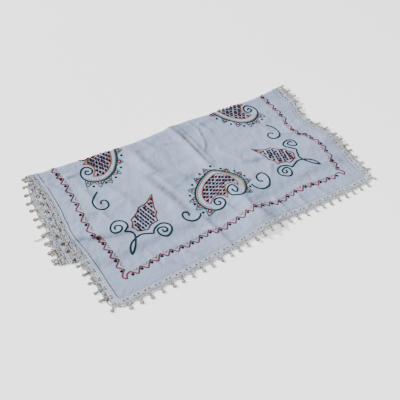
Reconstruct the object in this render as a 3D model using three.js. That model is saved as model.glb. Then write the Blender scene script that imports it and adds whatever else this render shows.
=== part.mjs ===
// An embroidered tablecloth with a crocheted edging, folded in three layers on a flat surface.
// Units are millimetres. +X runs along the near hem, +Y to the far fold, +Z up.
// The cloth is described flat, by u across it and v from its near hem, and lay() folds it.
import * as THREE from 'three';

// Driving dimensions of the flat cloth, taken between its hems.
const CLOTH_WIDTH = 692;
const CLOTH_LENGTH = 744;
const CLOTH_THICK = 1.4;

// The edging: a crocheted band and the bobbled drops along it.
const PIECE_GAP = 0.3;
const BAND_WIDTH = 24;
const BAND_CORNER_WIDTH = 20;
const DROP_PITCH = 24.6;
const DROP_ROOT = 4.4;
const ROOT_MARGIN = 0.8;
const DROP_LENGTH = 12.5;
const CORNER_DROP_ALONG = 0.85;
const CORNER_DROP_OUT = 0.5;
const EDGING_REACH = BAND_WIDTH + DROP_LENGTH;

// Where the model's origin lies, measured from the left end of the near embroidered border.
const ORIGIN_X = 273.5;
const ORIGIN_Y = 136.4;
const LEFT_HEM = -55;
const RIGHT_HEM = LEFT_HEM + CLOTH_WIDTH;
const NEAR_HEM = -46;

// Heights of the middle of the cloth where it lies on the floor or on the layers beneath.
const FLOOR_LEVEL = CLOTH_THICK / 2;
const STEP_OVER_ONE = 3.1;
const STEP_OVER_TWO = 2.5;
const FIRST_FOLD_RISE = 4.1;
const FIRST_FOLD_RUN = 45;
const STEP_RUN = 20;
const LAYER_CLEARANCE = 5;

// A raised part of the upper layer leans to its near left by these parts of its height.
const LEAN_X = 0.56;
const LEAN_Y = 0.69;

// The turned-under end slips back to the right as it runs away from the second fold.
const LOWEST_SLIP = 0.2;

// The far fold in plan: how far from the near border each part of it lies.
const FIRST_FOLD = [
  { x: -90, y: 354 },
  { x: -22, y: 348 },
  { x: 25, y: 345 },
  { x: 75, y: 340 },
  { x: 190, y: 334 },
  { x: 285, y: 337 },
  { x: 310, y: 341 },
  { x: 350, y: 340 },
  { x: 437, y: 334 },
  { x: 560, y: 330 },
  { x: 650, y: 336 },
];

// The second fold, under the upper layer and showing only at its left end.
const SECOND_FOLD = [
  { x: -128, y: 89 },
  { x: -80, y: 78 },
  { x: 0, y: 70 },
  { x: 337, y: 62 },
  { x: 640, y: 60 },
];

// How far the middle layer has slipped to the left at each distance from the far fold.
const MIDDLE_SLIP = [
  { run: 0, slip: 0 },
  { run: 38, slip: -13 },
  { run: 75, slip: -21 },
  { run: 150, slip: -26 },
  { run: 230, slip: -36 },
  { run: 270, slip: -38 },
];

// The near hem is drawn back where the cloth lifts into its main ridge.
const NEAR_HEM_PULL = [
  { x: -90, pull: 0 },
  { x: 35, pull: -1 },
  { x: 150, pull: 0 },
  { x: 230, pull: 4 },
  { x: 290, pull: 10 },
  { x: 330, pull: 16 },
  { x: 365, pull: 13 },
  { x: 440, pull: 7 },
  { x: 560, pull: 4 },
  { x: 680, pull: 5 },
];
const NEAR_PULL_FADE = 95;

// The side hems wander by these amounts along the upper layer, and the right edging is
// drawn in or flared to this part of its width.
const SIDE_WANDER = [
  { y: -46, left: -2, right: -4, reach: 0.9 },
  { y: 0, left: -2.5, right: -2, reach: 0.85 },
  { y: 40, left: -2, right: 2, reach: 0.88 },
  { y: 77, left: -2, right: 5, reach: 0.98 },
  { y: 130, left: -6, right: 8, reach: 0.86 },
  { y: 160, left: -7, right: -5, reach: 0.98 },
  { y: 190, left: -4, right: -14, reach: 0.74 },
  { y: 225, left: 0, right: -8, reach: 0.76 },
  { y: 250, left: 1, right: -2, reach: 0.86 },
  { y: 275, left: 1, right: 2, reach: 1.12 },
  { y: 300, left: 1.5, right: 1, reach: 1.25 },
  { y: 325, left: 0, right: 2, reach: 1.1 },
];
const WANDER_REACH = 170;
const NEAR_EDGING_REACH = 0.92;

// Main ridges of the upper layer: each has its line in plan, its rise at both ends and
// the half-widths of its left and right flanks.
const RIDGES = [
  { name: 'crest at the far fold', x1: 306, y1: 350, x2: 315, y2: 245, rise1: 5, rise2: 5, left: 26, right: 11 },
  { name: 'crest to the middle', x1: 315, y1: 245, x2: 325, y2: 150, rise1: 5, rise2: 4, left: 26, right: 11 },
  { name: 'crest past the motif', x1: 325, y1: 150, x2: 328, y2: 60, rise1: 4, rise2: 7, left: 30, right: 22 },
  { name: 'crest at the border', x1: 328, y1: 60, x2: 326, y2: -10, rise1: 7, rise2: 15, left: 48, right: 34 },
  { name: 'crest at the hem', x1: 326, y1: -10, x2: 332, y2: -85, rise1: 15, rise2: 7, left: 48, right: 38 },
  { name: 'soft swell left of centre', x1: 165, y1: 330, x2: 190, y2: 240, rise1: 3, rise2: 3.5, left: 24, right: 14 },
  { name: 'swell to the near motif', x1: 190, y1: 240, x2: 248, y2: 190, rise1: 3.5, rise2: 1.5, left: 26, right: 14 },
  { name: 'swell beside the bud', x1: 150, y1: 215, x2: 182, y2: 85, rise1: 3, rise2: 2, left: 20, right: 11 },
  { name: 'tuck from the left hem', x1: -70, y1: 140, x2: 45, y2: 108, rise1: 4.5, rise2: 3, left: 12, right: 22 },
  { name: 'right hand swell', x1: 470, y1: 120, x2: 680, y2: 112, rise1: 2, rise2: 7, left: 30, right: 30 },
  { name: 'far right swell', x1: 520, y1: 262, x2: 680, y2: 270, rise1: 2, rise2: 5, left: 34, right: 34 },
  { name: 'left border swell', x1: -60, y1: 250, x2: -20, y2: 190, rise1: 3, rise2: 3, left: 26, right: 26 },
];

// Mesh sections across and along the cloth. Those across fall between the drops of the hem.
const FINE_FROM = 290;
const FINE_TO = 372;
const FINE_PARTS = 3;
const UPPER_ROWS = 19;
const FIRST_FOLD_ROWS = 6;
const MIDDLE_ROWS = 9;
const SECOND_FOLD_ROWS = 4;
const LOWEST_ROWS = 3;

function smooth(from, to, value) {
  const t = Math.min(1, Math.max(0, (value - from) / (to - from)));
  return t * t * (3 - 2 * t);
}

// Reads one column of a table at a value of its first column, eased between rows.
function readTable(rows, key, column, at) {
  if (at <= rows[0][key]) return rows[0][column];
  for (let i = 1; i < rows.length; i += 1) {
    const a = rows[i - 1];
    const b = rows[i];
    if (at <= b[key]) {
      return a[column] + (b[column] - a[column]) * smooth(a[key], b[key], at);
    }
  }
  return rows[rows.length - 1][column];
}

function ridgeHeight(x, y) {
  let tallest = 0;
  let others = 0;
  for (const ridge of RIDGES) {
    const dx = ridge.x2 - ridge.x1;
    const dy = ridge.y2 - ridge.y1;
    const length = Math.hypot(dx, dy);
    const along = ((x - ridge.x1) * dx + (y - ridge.y1) * dy) / length;
    const across = ((x - ridge.x1) * dy - (y - ridge.y1) * dx) / length;
    const t = Math.min(1, Math.max(0, along / length));
    const past = Math.max(0, -along, along - length);
    const eastward = across * Math.sign(dy === 0 ? 1 : dy);
    const half = eastward > 0 ? ridge.right : ridge.left;
    const rise = ridge.rise1 + (ridge.rise2 - ridge.rise1) * t;
    const height = rise * Math.exp(-((across / half) ** 2) - ((past / half) ** 2));
    if (ridge.name.startsWith('crest')) tallest = Math.max(tallest, height);
    else others += height;
  }
  return tallest + others;
}

// How fully a place lies over the turned-under end, from 0 to 1.
function overLowest(x, y) {
  const foldY = readTable(SECOND_FOLD, 'x', 'y', x);
  const run = Math.max(0, y - foldY);
  const reach = 84 + EDGING_REACH;
  const far = 1 - smooth(foldY + reach + LAYER_CLEARANCE, foldY + reach + 30, y);
  const slip = MIDDLE_SLIP[MIDDLE_SLIP.length - 1].slip + LOWEST_SLIP * run;
  const leftEdge = LEFT_HEM - EDGING_REACH + slip;
  const left = smooth(leftEdge - 18, leftEdge - 3, x);
  return far * left;
}

// Height of the upper layer's middle.
function upperHeight(x, y, foldY) {
  const secondY = readTable(SECOND_FOLD, 'x', 'y', x);
  const run = foldY - y;
  const rightEdge = RIGHT_HEM + EDGING_REACH + readTable(MIDDLE_SLIP, 'run', 'slip', run);
  const side = 1 - smooth(rightEdge + 4, rightEdge + 26, x);
  const over = smooth(secondY - 4 - STEP_RUN, secondY - 5, y) * side;
  const stack = STEP_OVER_ONE * over + STEP_OVER_TWO * over * overLowest(x, y);
  const roll = FIRST_FOLD_RISE * smooth(foldY - FIRST_FOLD_RUN, foldY, y);
  return FLOOR_LEVEL + stack + roll + ridgeHeight(x, y);
}

// The far end of the upper layer in one column, where the first fold begins.
function upperEnd(u) {
  const y = readTable(FIRST_FOLD, 'x', 'y', u);
  const x = planX(u, y);
  const z = upperHeight(x, y, y);
  return { x: x - LEAN_X * z, y: y - LEAN_Y * z, z, foldY: y };
}

// Where u lies across the upper layer, after its side hems' wander.
function planX(u, y) {
  const left = 1 - smooth(LEFT_HEM, LEFT_HEM + WANDER_REACH, u);
  const right = smooth(RIGHT_HEM - WANDER_REACH, RIGHT_HEM - 40, u);
  const shift = left * readTable(SIDE_WANDER, 'y', 'left', y) + right * readTable(SIDE_WANDER, 'y', 'right', y);
  const past = Math.max(0, u - RIGHT_HEM);
  return u - past + past * readTable(SIDE_WANDER, 'y', 'reach', y) + shift;
}

// Lengths of cloth taken by each layer and each fold in one column.
function columnLengths(u) {
  const end = upperEnd(u);
  const radius = (end.z - FLOOR_LEVEL) / 2;
  const slip = MIDDLE_SLIP[MIDDLE_SLIP.length - 1].slip;
  const secondY = readTable(SECOND_FOLD, 'x', 'y', u + slip);
  const upper = end.foldY - NEAR_HEM;
  const middle = end.y - secondY;
  const secondRadius = STEP_OVER_ONE / 2;
  return { end, radius, secondY, upper, middle, secondRadius };
}

// The place of the cloth's middle surface at flat coordinates u, v.
function lay(u, v) {
  const column = columnLengths(u);
  const { end, radius, secondRadius } = column;
  if (v <= column.upper) {
    const flatY = NEAR_HEM + (v < 0 ? v * NEAR_EDGING_REACH : v);
    const fade = 1 - smooth(0, NEAR_PULL_FADE, flatY);
    const x = planX(u, flatY);
    const y = flatY + readTable(NEAR_HEM_PULL, 'x', 'pull', u) * fade;
    const z = upperHeight(x, y, end.foldY);
    return new THREE.Vector3(x - LEAN_X * z, y - LEAN_Y * z, z);
  }
  let rest = v - column.upper;
  if (rest <= Math.PI * radius) {
    const turn = rest / radius;
    return new THREE.Vector3(end.x, end.y + radius * Math.sin(turn), end.z - radius * (1 - Math.cos(turn)));
  }
  rest -= Math.PI * radius;
  if (rest <= column.middle) {
    const x = end.x + readTable(MIDDLE_SLIP, 'run', 'slip', rest);
    const y = end.y - rest;
    return new THREE.Vector3(x, y, FLOOR_LEVEL + STEP_OVER_ONE * overLowest(x, y));
  }
  rest -= column.middle;
  const x = end.x + readTable(MIDDLE_SLIP, 'run', 'slip', column.middle);
  if (rest <= Math.PI * secondRadius) {
    const turn = rest / secondRadius;
    const top = FLOOR_LEVEL + STEP_OVER_ONE;
    return new THREE.Vector3(
      x, column.secondY - secondRadius * Math.sin(turn), top - secondRadius * (1 - Math.cos(turn)));
  }
  rest -= Math.PI * secondRadius;
  return new THREE.Vector3(x + LOWEST_SLIP * rest, column.secondY + rest, FLOOR_LEVEL);
}

// The direction that the cloth's face side points in at u, v.
function faceDirection(u, v) {
  const reach = 0.4;
  const across = lay(u + reach, v).sub(lay(u - reach, v));
  const along = lay(u, v + reach).sub(lay(u, v - reach));
  return across.cross(along).normalize();
}

function toModel(point) {
  return [point.x - ORIGIN_X, point.y - ORIGIN_Y, point.z];
}

// Collects corners and triangles, and gives a closed geometry whose faces point out.
class Shell {
  constructor() {
    this.corners = [];
    this.faces = [];
  }

  add(point) {
    this.corners.push(...toModel(point));
    return this.corners.length / 3 - 1;
  }

  quad(a, b, c, d) {
    this.faces.push(a, b, c, a, c, d);
  }

  geometry() {
    const geometry = new THREE.BufferGeometry();
    geometry.setAttribute('position', new THREE.Float32BufferAttribute(this.corners, 3));
    geometry.setIndex(this.faces);
    geometry.computeVertexNormals();
    return geometry;
  }
}

// Rows of v in one column, the same count in each, closer together round the folds.
function rowsOf(u) {
  const column = columnLengths(u);
  const firstArc = Math.PI * column.radius;
  const secondArc = Math.PI * column.secondRadius;
  const lowest = CLOTH_LENGTH - column.upper - firstArc - column.middle - secondArc;
  const stretches = [
    [column.upper, UPPER_ROWS],
    [firstArc, FIRST_FOLD_ROWS],
    [column.middle, MIDDLE_ROWS],
    [secondArc, SECOND_FOLD_ROWS],
    [lowest, LOWEST_ROWS],
  ];
  const rows = [0];
  let start = 0;
  for (const [length, count] of stretches) {
    for (let i = 1; i <= count; i += 1) rows.push(start + (length * i) / count);
    start += length;
  }
  return rows;
}

function dropSpacing(length) {
  return length / Math.round(length / DROP_PITCH);
}

function columnStations() {
  const spacing = dropSpacing(CLOTH_WIDTH);
  const stations = [];
  for (let k = 0; k * spacing < CLOTH_WIDTH - spacing / 2; k += 1) {
    const u = LEFT_HEM + k * spacing;
    const parts = u + spacing > FINE_FROM && u < FINE_TO ? FINE_PARTS : 1;
    for (let i = 0; i < parts; i += 1) stations.push(u + (i * spacing) / parts);
  }
  stations.push(RIGHT_HEM);
  return stations;
}

function buildCloth() {
  const shell = new Shell();
  const stations = columnStations();
  const face = [];
  const back = [];
  for (const u of stations) {
    const faceColumn = [];
    const backColumn = [];
    for (const v of rowsOf(u)) {
      const middle = lay(u, v);
      const out = faceDirection(u, v).multiplyScalar(CLOTH_THICK / 2);
      faceColumn.push(shell.add(middle.clone().add(out)));
      backColumn.push(shell.add(middle.clone().sub(out)));
    }
    face.push(faceColumn);
    back.push(backColumn);
  }
  const lastU = stations.length - 1;
  const lastV = face[0].length - 1;
  for (let i = 0; i < lastU; i += 1) {
    for (let j = 0; j < lastV; j += 1) {
      shell.quad(face[i][j], face[i + 1][j], face[i + 1][j + 1], face[i][j + 1]);
      shell.quad(back[i][j], back[i][j + 1], back[i + 1][j + 1], back[i + 1][j]);
    }
    shell.quad(face[i + 1][0], face[i][0], back[i][0], back[i + 1][0]);
    shell.quad(face[i][lastV], face[i + 1][lastV], back[i + 1][lastV], back[i][lastV]);
  }
  for (let j = 0; j < lastV; j += 1) {
    shell.quad(face[0][j], face[0][j + 1], back[0][j + 1], back[0][j]);
    shell.quad(face[lastU][j + 1], face[lastU][j], back[lastU][j], back[lastU][j + 1]);
  }
  return shell.geometry();
}

// Sections of a drop: distance out from the band, half its width and half its thickness.
const DROP_SECTIONS = [
  { out: 5.2, half: 2.3, thick: 0.9 },
  { out: 9.2, half: 3.9, thick: 1.3 },
  { out: DROP_LENGTH, half: 1.9, thick: 0.8 },
];

// A point on either side of the cloth or band: side 1 is the face and -1 the back.
function skin(u, v, side) {
  return lay(u, v).addScaledVector(faceDirection(u, v), (side * CLOTH_THICK) / 2);
}

// A point beside the hem, on the straight line between the cloth's own sections.
function besideHem(place, sections, run, side) {
  let i = 1;
  while (i < sections.length - 1 && run > sections[i]) i += 1;
  const part = (run - sections[i - 1]) / (sections[i] - sections[i - 1]);
  const from = skin(...place(sections[i - 1], PIECE_GAP), side);
  const to = skin(...place(sections[i], PIECE_GAP), side);
  return from.lerp(to, part);
}

// A strip of edging along one hem. place(run, out) gives flat coordinates on the hem's
// outside; the band's ends are mitred, and a drop grows from each root.
function buildEdging({ length, place, sections, cornerDrops }) {
  const shell = new Shell();
  const start = -BAND_CORNER_WIDTH;
  const finish = length + BAND_CORNER_WIDTH;
  const spacing = dropSpacing(length);
  const roots = [];
  for (let root = spacing / 2; root < length; root += spacing) roots.push(root);
  const runs = new Map();
  for (const root of roots) {
    runs.set(root - DROP_ROOT / 2, { drop: 0 });
    runs.set(root + DROP_ROOT / 2, null);
  }
  for (const run of sections) {
    if (roots.every((root) => Math.abs(root - run) > DROP_ROOT / 2 + ROOT_MARGIN)) runs.set(run, null);
  }
  if (cornerDrops) {
    runs.set(start + PIECE_GAP, { drop: -1 });
    runs.set(start + PIECE_GAP + DROP_ROOT, null);
    runs.set(finish - PIECE_GAP - DROP_ROOT, { drop: 1 });
    runs.set(finish - PIECE_GAP, null);
  } else {
    runs.set(start + PIECE_GAP, null);
    runs.set(finish - PIECE_GAP, null);
  }
  const order = [...runs.keys()].sort((a, b) => a - b);
  const loops = [];
  for (const run of order) {
    const innerRun = Math.min(length - PIECE_GAP, Math.max(PIECE_GAP, run));
    const width = run < 0 || run > length ? BAND_CORNER_WIDTH : BAND_WIDTH;
    loops.push([
      shell.add(besideHem(place, sections, innerRun, 1)),
      shell.add(skin(...place(run, width), 1)),
      shell.add(skin(...place(run, width), -1)),
      shell.add(besideHem(place, sections, innerRun, -1)),
    ]);
  }
  for (let i = 0; i < loops.length - 1; i += 1) {
    const a = loops[i];
    const b = loops[i + 1];
    const drop = runs.get(order[i]);
    shell.quad(a[0], a[1], b[1], b[0]);
    shell.quad(a[2], a[3], b[3], b[2]);
    shell.quad(a[3], a[0], b[0], b[3]);
    if (!drop) {
      shell.quad(a[1], a[2], b[2], b[1]);
      continue;
    }
    const centre = (order[i] + order[i + 1]) / 2;
    growDrop(shell, [a[1], a[2], b[2], b[1]], place, centre, drop.drop);
  }
  const first = loops[0];
  const last = loops[loops.length - 1];
  shell.quad(first[0], first[3], first[2], first[1]);
  shell.quad(last[0], last[1], last[2], last[3]);
  return shell.geometry();
}

// One drop: a four-sided stalk that swells into a bobble, resting level with the band.
function growDrop(shell, root, place, centre, corner) {
  let previous = root;
  const base = corner === 0 ? BAND_WIDTH : BAND_CORNER_WIDTH;
  for (const section of DROP_SECTIONS) {
    const slant = corner * section.out * CORNER_DROP_ALONG;
    const out = base + section.out * (corner === 0 ? 1 : CORNER_DROP_OUT);
    const [u, v] = place(centre + slant, out);
    const side = place(centre + slant + 1, out);
    const middle = lay(u, v);
    const across = lay(side[0], side[1]).sub(middle).normalize();
    const up = faceDirection(u, v);
    const lowest = section.half * Math.abs(across.z) + section.thick * Math.abs(up.z);
    middle.z = Math.max(middle.z + section.thick - CLOTH_THICK / 2, lowest);
    const ring = [[-1, 1], [-1, -1], [1, -1], [1, 1]].map(([w, t]) => shell.add(
      middle.clone().addScaledVector(across, w * section.half).addScaledVector(up, t * section.thick)));
    for (let k = 0; k < 4; k += 1) {
      const next = (k + 1) % 4;
      shell.quad(previous[k], previous[next], ring[next], ring[k]);
    }
    previous = ring;
  }
  shell.quad(previous[0], previous[1], previous[2], previous[3]);
}

const hemColumns = columnStations().map((u) => u - LEFT_HEM);

const EDGINGS = [
  {
    name: 'lace_near',
    length: CLOTH_WIDTH,
    place: (run, out) => [LEFT_HEM + run, -out],
    sections: hemColumns,
    cornerDrops: true,
  },
  {
    name: 'lace_right',
    length: CLOTH_LENGTH,
    place: (run, out) => [RIGHT_HEM + out, run],
    sections: rowsOf(RIGHT_HEM),
    cornerDrops: false,
  },
  {
    name: 'lace_far',
    length: CLOTH_WIDTH,
    place: (run, out) => [RIGHT_HEM - run, CLOTH_LENGTH + out],
    sections: hemColumns.map((run) => CLOTH_WIDTH - run).reverse(),
    cornerDrops: true,
  },
  {
    name: 'lace_left',
    length: CLOTH_LENGTH,
    place: (run, out) => [LEFT_HEM - out, CLOTH_LENGTH - run],
    sections: rowsOf(LEFT_HEM).map((run) => CLOTH_LENGTH - run).reverse(),
    cornerDrops: false,
  },
];

const clothCotton = () => new THREE.MeshStandardMaterial({ color: 0xd9dce6, roughness: 0.92, metalness: 0 });
const edgingCotton = () => new THREE.MeshStandardMaterial({ color: 0xe6e3da, roughness: 0.95, metalness: 0 });

const group = new THREE.Group();

const cloth = new THREE.Mesh(buildCloth(), clothCotton());
cloth.name = 'cloth';
group.add(cloth);

for (const edging of EDGINGS) {
  const mesh = new THREE.Mesh(buildEdging(edging), edgingCotton());
  mesh.name = edging.name;
  group.add(mesh);
}

export default group;
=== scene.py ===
# An embroidered tablecloth with a crocheted edging, folded in three layers on a pale floor.
# Lengths are millimetres until a mesh is made, and then metres. +X runs along the near hem,
# +Y to the far fold, +Z up. The cloth is described flat and lay() folds it.
import math
import random

import bpy
import numpy as np
from mathutils import Matrix, Vector


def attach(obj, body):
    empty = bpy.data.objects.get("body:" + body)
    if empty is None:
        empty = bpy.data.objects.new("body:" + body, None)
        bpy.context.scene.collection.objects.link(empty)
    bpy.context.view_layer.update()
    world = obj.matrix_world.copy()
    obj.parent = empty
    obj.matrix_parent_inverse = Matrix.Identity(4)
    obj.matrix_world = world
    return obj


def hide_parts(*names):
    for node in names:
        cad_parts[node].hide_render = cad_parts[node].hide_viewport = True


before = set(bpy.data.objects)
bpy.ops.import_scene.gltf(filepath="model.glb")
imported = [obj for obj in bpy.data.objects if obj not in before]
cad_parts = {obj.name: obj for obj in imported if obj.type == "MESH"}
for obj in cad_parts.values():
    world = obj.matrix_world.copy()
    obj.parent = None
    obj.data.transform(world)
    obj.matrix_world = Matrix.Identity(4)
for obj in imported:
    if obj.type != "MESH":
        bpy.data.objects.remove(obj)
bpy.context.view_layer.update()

MM = 0.001

# Driving dimensions of the flat cloth and its edging.
CLOTH_WIDTH = 692
CLOTH_LENGTH = 744
CLOTH_THICK = 0.5
BAND_WIDTH = 24
DROP_LENGTH = 12.5
EDGING_REACH = BAND_WIDTH + DROP_LENGTH
DOT_SPACING = 25

# Where the model's origin lies, measured from the left end of the near border.
ORIGIN_X = 273.5
ORIGIN_Y = 136.4
LEFT_HEM = -55
RIGHT_HEM = LEFT_HEM + CLOTH_WIDTH
NEAR_HEM = -46

# Heights of the middle of the cloth on the floor and on the layers beneath.
FLOOR_LEVEL = 0.7
STEP_OVER_ONE = 3.1
STEP_OVER_TWO = 2.5
FIRST_FOLD_RISE = 4.1
FIRST_FOLD_RUN = 45
STEP_RUN = 38
LAYER_CLEARANCE = 5
LEAN_X = 0.56
LEAN_Y = 0.69
LOWEST_SLIP = 0.2
LOWEST_REACH = 84
LOWEST_FADE = 30
NEAR_STEP_START = 4
NEAR_STEP_END = 5
LEFT_STEP_START = 18
LEFT_STEP_END = 3
RIGHT_STEP_START = 4
RIGHT_STEP_END = 26

# The camera stands at the photograph's angle.
VIEW_AZIMUTH = -38.49
VIEW_ELEVATION = 48.33
VIEW_ROLL = 6.73
VIEW_LENS = 54.56
CAMERA_PLACE = (-0.6235, -0.7749, 1.0535)


def table(columns, *rows):
    """Rows of numbers under the named columns."""
    names = columns.split()
    return [dict(zip(names, row)) for row in rows]


# Where the two folds lie in plan, how far the middle layer slips aside along its run, and how
# the hems stray from straight.
FIRST_FOLD = table("x y",
    (-90, 354), (-22, 348), (25, 345), (75, 340), (190, 334), (285, 337), (310, 341), (350, 340),
    (437, 334), (560, 330), (650, 336))

SECOND_FOLD = table("x y",
    (-128, 89), (-80, 78), (0, 70), (337, 62), (640, 60))

MIDDLE_SLIP = table("run slip",
    (0, 0), (38, -13), (75, -21), (150, -26), (230, -36), (270, -38))

NEAR_HEM_PULL = table("x pull",
    (-90, 0), (35, -1), (150, 0), (230, 4), (290, 10), (330, 16), (365, 13), (440, 7), (560, 4),
    (680, 5))
NEAR_PULL_FADE = 95

SIDE_WANDER = table("y left right reach",
    (-46, -2, -4, 0.9), (0, -2.5, -2, 0.85), (40, -2, 2, 0.88), (77, -2, 5, 0.98),
    (130, -6, 8, 0.86), (160, -7, -5, 0.98), (190, -4, -14, 0.74), (225, 0, -8, 0.76),
    (250, 1, -2, 0.86), (275, 1, 2, 1.12), (300, 1.5, 1, 1.25), (325, 0, 2, 1.1))
WANDER_REACH = 170
RIGHT_WANDER_END = 40
NEAR_EDGING_REACH = 0.92


def ridge(x1, y1, x2, y2, rise1, rise2, left, right):
    """A raised line of cloth: its ends in plan, its rise at each and its flanks' widths."""
    return dict(x1=x1, y1=y1, x2=x2, y2=y2, rise1=rise1, rise2=rise2, left=left, right=right)


# The crest takes the tallest of these, and the swells and creases add to it.
CREST = [
    ridge(306, 350, 315, 245, 5, 5, 26, 11),
    ridge(315, 245, 325, 150, 5, 4, 26, 11),
    ridge(325, 150, 328, 60, 4, 7, 30, 22),
    ridge(328, 60, 326, -10, 7, 15, 48, 34),
    ridge(326, -10, 332, -85, 15, 7, 48, 38),
]
SWELLS = [
    ridge(165, 330, 190, 240, 3, 3.5, 24, 14),
    ridge(190, 240, 248, 190, 3.5, 1.5, 26, 14),
    ridge(150, 215, 182, 85, 3, 2, 20, 11),
    ridge(-70, 140, 45, 108, 4.5, 3, 12, 22),
    ridge(470, 120, 680, 112, 2, 7, 30, 30),
    ridge(520, 262, 680, 270, 2, 5, 34, 34),
    ridge(-60, 250, -20, 190, 3, 3, 26, 26),
]


def fold(path, rise, left, right, mark=0.38, spread=1.0):
    """A crease along a path in plan: its flanks' widths, and how dark and how wide its line is drawn in
    the cotton, as wear and as painted shade.
    """
    return dict(path=path, rise=rise, left=left, right=right, mark=mark, spread=spread)


FOLD_END = 0.45
FOLD_GAIN = 1.6
# Crease lines reach further onto a crease's right flank, the side away from the key light, as painted
# shade.
MARK_LEFT = 1.8
MARK_RIGHT = 3.6
# The last two numbers of a fold darken its line in the cotton's colour: worn lines, and painted shade on
# their shaded flanks.
FOLDS = [
    fold([(302, 345), (311, 306), (314, 257), (316, 216), (321, 172)], 2.8, 15, 2.8, 1.0),
    fold([(322, 335), (329, 280), (332, 227), (333, 187)], 1.3, 7, 3),
    fold([(354, 343), (364, 304), (357, 270), (350, 248), (332, 221)], 1.5, 7, 3),
    fold([(378, 319), (390, 279)], 2, 8, 4),
    # These two paint a broad shade along their valleys.
    fold([(182, 309), (180, 270), (189, 236), (209, 211), (241, 183), (267, 173)], 4.2, 20, 8, 0.34, 2.2),
    fold([(160, 222), (168, 181), (179, 143), (187, 90)], 4.0, 16, 8, 0.34, 2.2),
    fold([(186, 222), (194, 190), (203, 150)], 2.6, 8, 11),
    fold([(216, 332), (230, 300)], 2.2, 8, 3),
    fold([(247, 299), (273, 293), (293, 277)], 1.6, 5, 9),
    fold([(-60, 139), (-26, 118), (5, 107), (37, 98), (70, 90)], 1.7, 7, 18),
    fold([(-21, 193), (20, 177), (33, 136)], 1.6, 5, 9),
    fold([(56, 32), (59, 6), (59, -16)], 1.4, 8, 5),
    fold([(370, 211), (391, 174), (399, 154), (430, 142), (476, 140)], 3, 9, 16),
    fold([(450, 106), (436, 84)], 1.9, 8, 6),
    fold([(515, 233), (535, 184), (569, 174), (594, 152)], 2.7, 14, 8),
    fold([(332, 60), (331, 30), (344, -8), (356, -42)], 4.1, 16, 5),
    fold([(210, 54), (217, 12), (222, -42)], 3.2, 14, 5),
    fold([(281, 58), (289, 24)], 2.2, 9, 4),
    fold([(392, 10), (394, -31)], 2.2, 8, 5),
    fold([(446, -10), (447, -42)], 2, 8, 5),
    fold([(75, -12), (100, -40)], 1.8, 8, 5),
    fold([(125, -12), (150, -40)], 1.8, 8, 5),
    fold([(505, -12), (512, -40)], 1.6, 8, 6),
    fold([(-45, 308), (-22, 272)], 3, 12, 6),
    fold([(2, 310), (24, 306)], 2.4, 6, 9),
    fold([(20, 250), (26, 175)], 2.2, 14, 7),
    fold([(60, 255), (88, 200), (96, 150)], 2.2, 16, 8),
    fold([(455, 300), (470, 262), (498, 236)], 2.2, 12, 7),
    fold([(560, 90), (600, 60), (622, 20)], 1.9, 10, 8),
]


def smooth(low, high, value):
    t = np.clip((value - low) / (high - low), 0.0, 1.0)
    return t * t * (3 - 2 * t)


def read_table(rows, key, column, at):
    """One column of a table at values of its key column, eased between rows."""
    keys = np.array([row[key] for row in rows], float)
    values = np.array([row[column] for row in rows], float)
    at = np.clip(at, keys[0], keys[-1])
    i = np.clip(np.searchsorted(keys, at) - 1, 0, len(keys) - 2)
    t = (at - keys[i]) / (keys[i + 1] - keys[i])
    return values[i] + (values[i + 1] - values[i]) * t * t * (3 - 2 * t)


def one_ridge(row, x, y):
    dx = row["x2"] - row["x1"]
    dy = row["y2"] - row["y1"]
    length = math.hypot(dx, dy)
    along = ((x - row["x1"]) * dx + (y - row["y1"]) * dy) / length
    across = ((x - row["x1"]) * dy - (y - row["y1"]) * dx) / length
    t = np.clip(along / length, 0, 1)
    past = np.maximum(0, np.maximum(-along, along - length))
    half = np.where(across * (1 if dy >= 0 else -1) > 0, row["right"], row["left"])
    rise = row["rise1"] + (row["rise2"] - row["rise1"]) * t
    return rise * np.exp(-((across / half) ** 2) - (past / half) ** 2)


def fold_height(row, x, y):
    """The tallest of a fold's legs, each running to the next point of its path."""
    path = row["path"]
    fade = [FOLD_END] + [1.0] * (len(path) - 2) + [FOLD_END]
    if len(path) == 2:
        fade = [1.0, FOLD_END]
    legs = []
    for a, b, start, end in zip(path[:-1], path[1:], fade[:-1], fade[1:]):
        rise = row["rise"] * FOLD_GAIN
        leg = ridge(*a, *b, rise * start, rise * end, row["left"], row["right"])
        legs.append(one_ridge(leg, x, y))
    return np.max(legs, axis=0)


def crease_wear_and_shade(u, v):
    """How dark the upper layer's creases are drawn at flat points, from 0 to 1 on their lines: worn fold
    lines, with painted shade on their shaded flanks.
    """
    flat_y = NEAR_HEM + v
    x = plan_x(u, flat_y)
    y = flat_y + near_pull(u, flat_y)
    marks = []
    for row in FOLDS:
        line = dict(row, rise=row["mark"] / FOLD_GAIN, left=MARK_LEFT * row["spread"],
                    right=MARK_RIGHT * row["spread"])
        marks.append(fold_height(line, x, y))
    return np.max(marks, axis=0) * (v < TOP_LENGTH)


def ridge_height(x, y):
    tallest = np.max([one_ridge(row, x, y) for row in CREST], axis=0)
    swells = sum(one_ridge(row, x, y) for row in SWELLS)
    return tallest + swells + sum(fold_height(row, x, y) for row in FOLDS)


def over_lowest(x, y):
    fold_y = read_table(SECOND_FOLD, "x", "y", x)
    run = np.maximum(0, y - fold_y)
    reach = LOWEST_REACH + EDGING_REACH
    far = 1 - smooth(fold_y + reach + LAYER_CLEARANCE, fold_y + reach + LOWEST_FADE, y)
    left_edge = LEFT_HEM - EDGING_REACH + MIDDLE_SLIP[-1]["slip"] + LOWEST_SLIP * run
    return far * smooth(left_edge - LEFT_STEP_START, left_edge - LEFT_STEP_END, x)


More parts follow.
